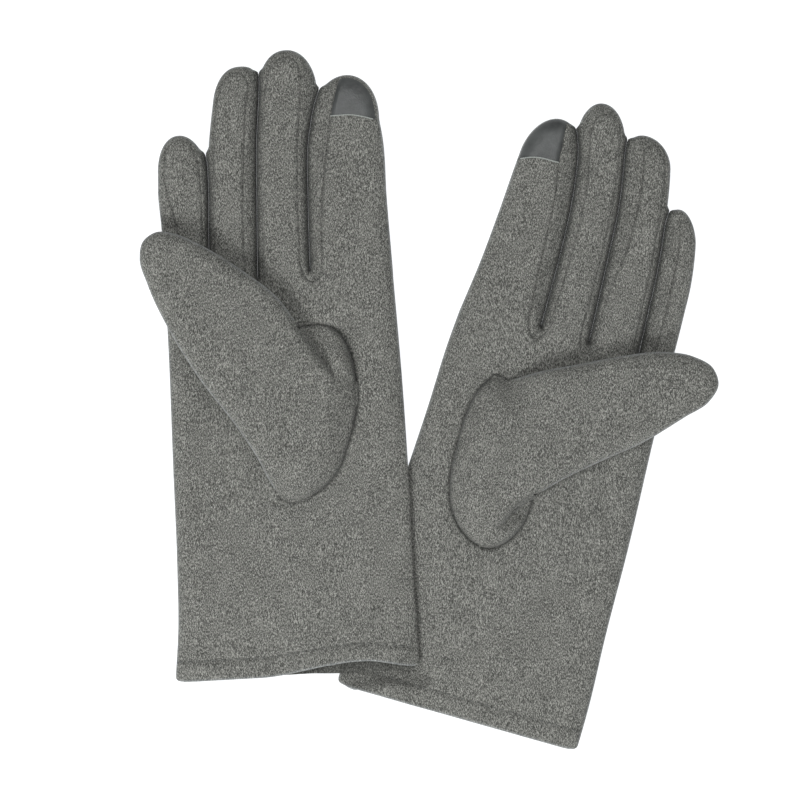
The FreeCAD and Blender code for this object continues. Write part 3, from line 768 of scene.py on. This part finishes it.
def sewn_region(hand, centres):
    """The visual piece of each triangle, as a name, by the triangle's centre."""
    names = np.full(len(centres), "panel", dtype=object)
    owner, strip = finger_of(hand, centres), strip_side(hand, centres)
    for place, finger in enumerate(FINGERS):
        mine = (owner == place) & (centres[:, 1] > FINGERS_FROM)
        spot, ahead, _ = bend_line(hand, f"{finger}_curl")
        beyond = mine & ((centres - spot) @ ahead > -SPLIT)
        names[beyond] = f"{finger}_stall"
        for sign in (1, -1):
            if not 0 <= place - sign < len(FINGERS):
                continue
            neighbour = FINGERS[place - sign]
            pair = (neighbour, finger) if sign > 0 else (finger, neighbour)
            names[mine & beyond & (strip == sign)] = f"{finger}_strip_facing_{neighbour}"
            names[mine & ~beyond & (strip == sign)] = "fourchette_%s_%s" % pair
    for pair in CROTCHES[hand]:
        names[(names == "panel") & inside(centres, strip_tongue(hand, pair))] = "fourchette_%s_%s" % pair
    return names


def cut_lines(hand, loop):
    """The lines that the triangles inside the outline follow: seams, bends, patch and hem."""
    breaks = np.flatnonzero(nearest(seams[hand], loop) <= 0.5)
    lines = [part[1:] if k else part for k, part in enumerate(np.split(seams[hand], breaks))]
    lines = [line for line in lines if len(line) > 2]
    lines.append(thumb_seams[hand])
    if hand == "right":
        lines.append(rolled_seam)
    for finger in FINGERS:
        spot, ahead, _ = bend_line(hand, f"{finger}_curl")
        base = spot - SPLIT * ahead
        across = np.array([ahead[1], -ahead[0]])
        wide = float(finger_half(hand, finger, base[1])) + 1
        line = even([base - wide * across, base + wide * across], 1.0)
        line = line[inside(line, loop)]
        line = line[FINGERS.index(finger) == finger_of(hand, line)]
        lines.append(line[nearest(line, loop) > 0.15])
    edge_line = through(PATCH_EDGE[hand], LINE_STEP)
    lines.append(edge_line[inside(edge_line, loop) & (nearest(edge_line, loop) > 0.2)])
    lines.append(patch_border(hand))
    lines.append(even([(-43, HEM_DEPTH), (43, HEM_DEPTH)], 1.0))
    return lines


def cuff_shift(hand, x, y):
    """How far the cuff's front is drawn up: the right one's open mouth, the left one's uneven hem."""
    if hand == "right":
        arch = MOUTH_ARCH * ease((x + 14) / 38) * (1 - 0.75 * ease((x - 26) / 22))
        return arch * ease((MOUTH_LENGTH - y) / MOUTH_LENGTH)
    wave = np.clip([noise.noise((at / 21, 0.4, 7.7)) for at in x], 0, 0.5)
    return HEM_WAVE * wave * ease((12 - y) / 12) * ease((44 - np.abs(x)) / 8)


def glove_cloth(hand):
    """Cuts one glove's two layers and makes every sewn piece of them but the thumb."""
    side = hand_outline(hand)
    cuff = even([side[-1], side[0]], 1.6)[1:-1]
    loop = np.vstack([side, cuff])
    flat, triangles = triangulated(loop, cut_lines(hand, loop), GRAIN)
    front, back = layer_heights(hand, flat, side)
    on_rim = (nearest(flat, even(side, 0.25)) < 0.2) & (flat[:, 1] > 0.3)
    middle = (front + back) / 2
    front[on_rim] = back[on_rim] = middle[on_rim]
    number = len(flat)
    shift = np.zeros_like(flat)
    shift[:, 1] = cuff_shift(hand, flat[:, 0], flat[:, 1])
    shift[on_rim] = 0
    points, twin = two_layers(flat, front, back, on_rim, shift)
    names = sewn_region(hand, flat[triangles].mean(1))
    triangles = facing_up(hand, flat, triangles)
    lower = twin[triangles][:, ::-1]
    # painted shade on both layers, the thumb's seam on the front only, and painted sheen on the edges and the
    # cuff's front
    plain = darkness(hand, flat)
    thumb_shade = THUMB_SHADE * groove(flat, thumb_seams[hand], THUMB_SHADE_WIDE)
    dark = np.concatenate([np.maximum(plain, thumb_shade), plain])
    painted_sheen = np.tile(painted_rim_sheen(hand, flat), 2)
    painted_sheen[:number] = np.maximum(painted_sheen[:number], HEM_EDGE_SHEEN * np.exp(-((flat[:, 1] / HEM_EDGE_SHEEN_WIDE) ** 2)))
    panel = names == "panel"
    panels = {"palm_panel": triangles[panel], "back_panel": lower[panel]}
    glove, made = f"{hand}_glove", {}
    for name in sorted(set(names)):
        both = {name: np.vstack([triangles[names == name], lower[names == name]])}
        for piece_name, faces in (panels if name == "panel" else both).items():
            made[piece_name] = cloth_piece(f"{hand}_{piece_name}_cloth", hand, points, faces, dark, painted_sheen)
    for name, piece in made.items():
        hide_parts(f"{hand}_{name}")
        finger = name.split("_")[0]
        if finger in FINGERS:
            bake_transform(piece)
        else:
            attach(piece, glove)
    return {"flat": flat, "triangles": triangles, "lower": lower, "points": points, "names": names,
            "dark": dark}


cloth = {hand: glove_cloth(hand) for hand in SIDE}


# ------------------------ the thumbs
# Front and back of the thumb are sewn together at its edges, and the front runs on into
# the gusset, which rises from the palm along the U-shaped seam. The thumb's piece is cut
# from the gusset a little below the joint at the crease over its root.
THUMB_BASE = 10.1    # its underside above the table
THUMB_TOP = 17.9
THUMB_BEND = 7.5     # the crease's bending length each side, which only sets where the split lies
THUMB_SPLIT = THUMB_BEND + 0.5
THUMB_ROUND = 7.0
THUMB_BILLOWS = ((0.45, 26, 5.0), (0.25, 11, 2.0))
CLIMBS = 17, 13      # it climbs from its seam over these lengths, partly rounded, partly eased
SWELLS = 15          # and gets its full thickness over this
# painted shade along the gusset seam and at the fold, and painted sheen along the free edge
GUSSET_SHADE, GUSSET_SHADE_WIDE = 0.54, 0.55
FOLD_SHADE, FOLD_SHADE_WIDE, FOLD_SOFT_SHADE = 0.42, 0.7, 0.16
THUMB_RIM_SHEEN = 0.28


def palm_height(hand, points):
    """The palm's front where the thumb lies on it."""
    return layer_heights(hand, points, hand_outline(hand))[0]


def thumb_cloth(hand):
    """Cuts one thumb with its gusset, and sews it to its glove."""
    free = through(THUMBS[hand]["free"], 0.9)
    seam = thumb_seams[hand]
    fold = through(THUMBS[hand]["fold"], 0.7)
    loop = np.vstack([free[:-1], seam[:-1]])
    place, ahead, axis_height = bend_line(hand, "thumb_lift")
    sideways = np.array([-ahead[1], ahead[0]])
    root = place - THUMB_SPLIT * ahead
    root = even([root - 60 * sideways, root + 60 * sideways], 0.9)
    root = root[inside(root, loop)]
    root = root[nearest(root, loop) > 0.2]
    flat, triangles = triangulated(loop, [fold[1:], root], FINE)
    on_free = nearest(flat, even(free, 0.25)) < 0.16
    corner_seam = gusset_corner(seam, fold)
    main_seam = seam[nearest(seam, corner_seam) > 0.5]
    beyond = inside(flat, np.vstack([fold, corner_seam]))
    edge = np.vstack([free, fold])
    measured = (nearest(flat, line) for line in (seam, edge, fold, main_seam))
    from_seam, from_edge, from_fold, from_main = measured
    palm = palm_height(hand, flat)
    climb = 0.55 * dome(from_main, CLIMBS[0]) + 0.45 * ease(from_main / CLIMBS[1])
    middle = palm + ((THUMB_BASE + THUMB_TOP) / 2 - palm) * climb
    crown = (THUMB_TOP - THUMB_BASE) / 2 + billow(flat, THUMB_BILLOWS)
    rounded = dome(from_edge, THUMB_ROUND)
    swell = dome(from_main, SWELLS)
    top = middle + crown * rounded * swell
    # the corner of the gusset that the fold uncovers lies low, and the fold fades at its end
    run = lengths_along(fold)
    index = np.array([np.argmin(((fold - p) ** 2).sum(1)) for p in flat])
    depth = ease((run[-1] - run[index]) / (0.8 * run[-1]))
    low = palm + 1.5 * dome(from_seam, 7)
    full = middle + crown * swell
    foot = low + (full - low) * ease(from_fold / 9) * (1 - depth)
    lobe = np.minimum(full + (foot - full) * depth**0.6, palm + 9 * dome(from_seam, 11))
    top = np.where(beyond, lobe, top)
    near = ~beyond & (from_fold < THUMB_ROUND)
    wall = low + (top - low) * ease(from_fold / 1.2)
    top = np.where(near, full + (wall - full) * depth, top)
    bottom = np.maximum(middle - crown * rounded * climb, palm + 0.35)
    bottom = np.minimum(bottom, top - 0.8)
    top[on_free] = bottom[on_free] = middle[on_free]
    seamed = (from_seam < 0.2) & ~on_free
    top[seamed] = palm[seamed] - 0.25
    # painted shade at the gusset seam and in the fold's shadow, painted sheen along the free edge
    dark = np.tile(np.max([
        GUSSET_SHADE * groove(flat, seam, GUSSET_SHADE_WIDE) * (from_edge > 0.5),
        FOLD_SHADE * depth * groove(flat, fold, FOLD_SHADE_WIDE) * beyond,
        FOLD_SOFT_SHADE * depth * beyond * np.exp(-from_fold / 1.5),
    ], axis=0), 2)
    painted_sheen = np.tile(THUMB_RIM_SHEEN * ragged(flat) * groove(flat, free, RIM_WIDE) * (from_seam > 3), 2)
    points, twin = two_layers(flat, top, bottom, on_free)
    centres = flat[triangles].mean(1)
    triangles = facing_up(hand, flat, triangles)
    reach = (centres - place) @ ahead
    under = (reach > -THUMB_SPLIT) & ~inside(centres, np.vstack([fold, corner_seam]))
    lower = twin[triangles[under]][:, ::-1]
    at_root = reach <= -THUMB_SPLIT
    gusset = cloth_piece(f"{hand}_thumb_gusset_cloth", hand, points, triangles[at_root], dark, painted_sheen)
    both = np.vstack([triangles[~at_root], lower])
    stall = cloth_piece(f"{hand}_thumb_stall_cloth", hand, points, both, dark, painted_sheen)
    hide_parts(f"{hand}_thumb_gusset")
    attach(gusset, f"{hand}_glove")
    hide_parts(f"{hand}_thumb_stall")
    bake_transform(stall)


def gusset_corner(seam, fold):
    """The seam's stretch that closes the uncovered corner of the gusset, from the fold's end."""
    last = np.argmin(((seam - fold[-1]) ** 2).sum(1))
    first = np.argmin(((seam - fold[0]) ** 2).sum(1))
    return seam[last:first + 1] if last < first else seam[first:last + 1][::-1]


for hand in SIDE:
    thumb_cloth(hand)


# ------------------------ touch patches
# A small piece of coated cloth over the front of each index fingertip, sewn down at its
# lower edge. The coating is dark, smooth and satin, with faint creases.
PATCH_PLY = 0.45
PATCH_PROUD = 0.3    # its face stands this far above the knit's


def patch_material():
    material, tree, shader = new_material("satin_coated_cloth")
    place = add_node(tree, "TexCoord").outputs["Object"]
    cloud = noise_node(tree, place, 115, 3.0, 0.55)
    grain = noise_node(tree, place, 1900, 2.0, 0.5)
    tone = add_node(tree, "ValToRGB", Fac=cloud)
    shades = ((0.3, (0.028, 0.031, 0.031, 1)), (0.75, (0.080, 0.086, 0.085, 1)))
    for element, (position, colour) in zip(tone.color_ramp.elements, shades):
        element.position, element.color = position, colour
    height = math_node(tree, "MULTIPLY_ADD", grain, 0.25, cloud)
    bump = add_node(tree, "Bump", Strength=0.4, Distance=0.001, Height=height)
    fill_in(tree, shader, Base_Color=tone.outputs["Color"], Normal=bump.outputs["Normal"],
            Roughness=math_node(tree, "MULTIPLY_ADD", cloud, 0.3, 0.26), Specular_IOR_Level=0.5)
    return material


satin_patch = patch_material()
for hand in SIDE:
    part = cloth[hand]
    centres = part["flat"][part["triangles"]].mean(1)
    edge_line = sorted(map(tuple, through(PATCH_EDGE[hand], LINE_STEP)))
    above = centres[:, 1] > np.interp(centres[:, 0], *zip(*edge_line))
    inner = nearest(centres, hand_outline(hand)) > PATCH_INSET[hand]
    mine = above & inner & (part["names"] == "index_stall")
    raised = part["points"].copy()
    raised[: len(part["flat"]), 2] += PATCH_PROUD
    patch = cloth_piece(f"{hand}_touch_patch_cloth", hand, raised, part["triangles"][mine], 0 * part["dark"],
                        None, PATCH_PLY, satin_patch)
    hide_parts(f"{hand}_touch_patch")
    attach(patch, f"{hand}_index_fingertip")


# ------------------------ thread
# Spun polyester in the gloves' own grey: a line of stitches round each hem, and a close
# overlocked edge, a little lighter, along the bottom of each touch patch.
HEM_TONES = ((0.10, 0.103, 0.097, 1), (0.20, 0.205, 0.195, 1))
EDGE_TONES = ((0.26, 0.28, 0.265, 1), (0.42, 0.44, 0.42, 1))
hem_thread = knit_material("grey_sewing_thread", *HEM_TONES, 3200, 0.0002)
edge_thread = knit_material("pale_overlock_thread", *EDGE_TONES, 3200, 0.0002)
HEM_STITCH = 2.3, 0.5        # how long and how thick a stitch is
EDGE_STITCH = 1.3, 0.55
EDGE_PROUD = 0.42            # the overlocked edge stands this far above the knit


def surface_height(hand, flat, layer):
    """The height of a cloth layer at a point, from the nearest of its own points."""
    part = cloth[hand]
    number = len(part["flat"])
    points = part["points"][:number] if layer == "front" else part["points"][number:]
    far = ((points[:, :2] - flat) ** 2).sum(1)
    nearest_three = np.argsort(far)[:3]
    weight = 1 / (far[nearest_three] + 1e-3)
    return float((points[nearest_three, 2] * weight).sum() / weight.sum())


def stitch(length, thick):
    """One stitch: a short thread whose ends dive into the cloth, as vertices and faces."""
    vertices, faces, around = [], [], 6
    stations = np.linspace(-1, 1, 5)
    for s in stations:
        radius = thick / 2 * math.sqrt(max(0.08, 1 - s**4))
        drop = -0.9 * thick * s**4
        for k in range(around):
            a = 2 * math.pi * k / around
            vertices.append((s * length / 2, radius * math.cos(a), drop + radius * math.sin(a)))
    for ring in range(len(stations) - 1):
        for k in range(around):
            a, b = ring * around + k, ring * around + (k + 1) % around
            faces.append((a, b, b + around, a + around))
    faces.append(tuple(range(around))[::-1])
    faces.append(tuple(range(len(vertices) - around, len(vertices))))
    return np.array(vertices), faces


def stitch_row(name, hand, spots, size, material):
    """Stitches at the given places: each is (x, y, z, direction x, direction y, up or down)."""
    shape, faces = stitch(*size)
    points, all_faces = [], []
    for x, y, z, dx, dy, up in spots:
        base = len(points)
        flip = up * SIDE[hand]
        turned = [(x + p[0] * dx - p[1] * dy, y + p[0] * dy + p[1] * dx, z + up * p[2]) for p in shape]
        points += turned
        all_faces += [tuple(base + i for i in (face if flip > 0 else face[::-1])) for face in faces]
    mesh = bpy.data.meshes.new(name)
    mesh.from_pydata([tuple(p) for p in to_row(hand, np.array(points))], [], all_faces)
    piece = placed(name, mesh, material)
    bpy.ops.object.shade_smooth()
    piece.select_set(False)
    return piece


for hand in SIDE:
    spots = []
    for layer, up in (("front", 1), ("back", -1)):
        for x in np.arange(-43.5, 44, STITCH_EVERY):
            drawn_up = hand == "right" and layer == "front"
            y = HEM_DEPTH + (cuff_shift(hand, x, HEM_DEPTH) if drawn_up else 0)
            z = surface_height(hand, (x, y), layer) + up * 0.02
            spots.append((x, y, max(z, 0.3), 1.0, 0.0, up))
    hem_row = stitch_row(f"{hand}_hem_stitches", hand, spots, HEM_STITCH, hem_thread)
    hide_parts(f"{hand}_hem_stitching")
    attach(hem_row, f"{hand}_glove")

    line = through(PATCH_EDGE[hand], LINE_STEP)
    line = line[nearest(line, hand_outline(hand)) > PATCH_INSET[hand] + 0.4]
    spots = []
    for (x, y), (dx, dy) in zip(line[:-1], np.diff(line, axis=0)):
        run = math.hypot(dx, dy)
        z = surface_height(hand, (x, y), "front") + EDGE_PROUD
        spots.append((x, y, z, dx / run, dy / run, 1))
    edge_row = stitch_row(f"{hand}_patch_edge_thread", hand, spots, EDGE_STITCH, edge_thread)
    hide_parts(f"{hand}_patch_edge_stitching")
    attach(edge_row, f"{hand}_index_fingertip")


# ------------------------ hems
# The cuff's edge is turned up inside and pressed flat, so a second, thinner ply lines the
# mouth on the front and on the back as far as the stitching.
HEM_PLY = 0.6
HEM_HALF = 44        # it ends this far from the glove's middle line, short of the side seams
for hand in SIDE:
    part = cloth[hand]
    number = len(part["flat"])
    centres = part["flat"][part["triangles"]].mean(1)
    mine = (centres[:, 1] < HEM_DEPTH) & (np.abs(centres[:, 0]) < HEM_HALF)
    lining = part["points"].copy()
    lining[:, 2] += np.repeat([-1, 1], number) * (CLOTH + 0.05)
    faces = np.vstack([part["triangles"][mine], part["lower"][mine]])
    # painted shade over the whole lining, for the dark inside of the mouth
    shade = np.full(2 * number, 0.5)
    hem_cloth = cloth_piece(f"{hand}_cuff_hem_cloth", hand, lining, faces, shade, None, HEM_PLY,
                            brushed_knit)
    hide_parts(f"{hand}_cuff_hem")
    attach(hem_cloth, f"{hand}_glove")


# ------------------------ table, light and camera
# A plain white table under soft studio light, seen from straight above.
VIEW_CENTRE = (-0.01055, 0.00027)
VIEW_WIDTH = 0.304   # what the view takes in, in metres, at the height below
VIEW_HEIGHT = 0.008
LENS = 120
bpy.ops.mesh.primitive_plane_add(size=6, location=(0, 0, -0.0004))
table = bpy.context.object
table.name = "table"
white, tree, surface = new_material("white_table")
fill_in(tree, surface, Base_Color=(0.25, 0.25, 0.25, 1), Roughness=0.9,
        Emission_Color=(0.97, 0.985, 1, 1), Emission_Strength=0.93)
table.data.materials.append(white)

world = bpy.data.worlds.new("studio")
bpy.context.scene.world = world
world.use_nodes = True
fill_in(world.node_tree, world.node_tree.nodes["Background"], Color=(1, 1, 1, 1), Strength=0.42)


def soft_light(name, place, size, power):
    """A round soft light that points at the middle of the table."""
    lamp = bpy.data.lights.new(name, "AREA")
    lamp.shape = "DISK"
    lamp.size = size
    lamp.energy = power
    light = bpy.data.objects.new(name, lamp)
    bpy.context.scene.collection.objects.link(light)
    light.location = place
    light.rotation_mode = "QUATERNION"
    light.rotation_quaternion = Vector(place).to_track_quat("Z", "Y")


soft_light("key", (-0.45, -0.95, 0.95), 0.5, 16)
soft_light("fill", (0.6, 0.8, 1.3), 0.9, 3)
soft_light("top", (-0.06, 0.22, 1.25), 0.22, 3.6)

camera = bpy.data.cameras.new("camera")
camera.lens = LENS
camera.sensor_width = 36
view = bpy.data.objects.new("camera", camera)
bpy.context.scene.collection.objects.link(view)
view.location = (*VIEW_CENTRE, VIEW_WIDTH * LENS / camera.sensor_width + VIEW_HEIGHT)
view.rotation_euler = (0, 0, 0)
bpy.context.scene.camera = view
bpy.context.scene.view_settings.view_transform = "Standard"
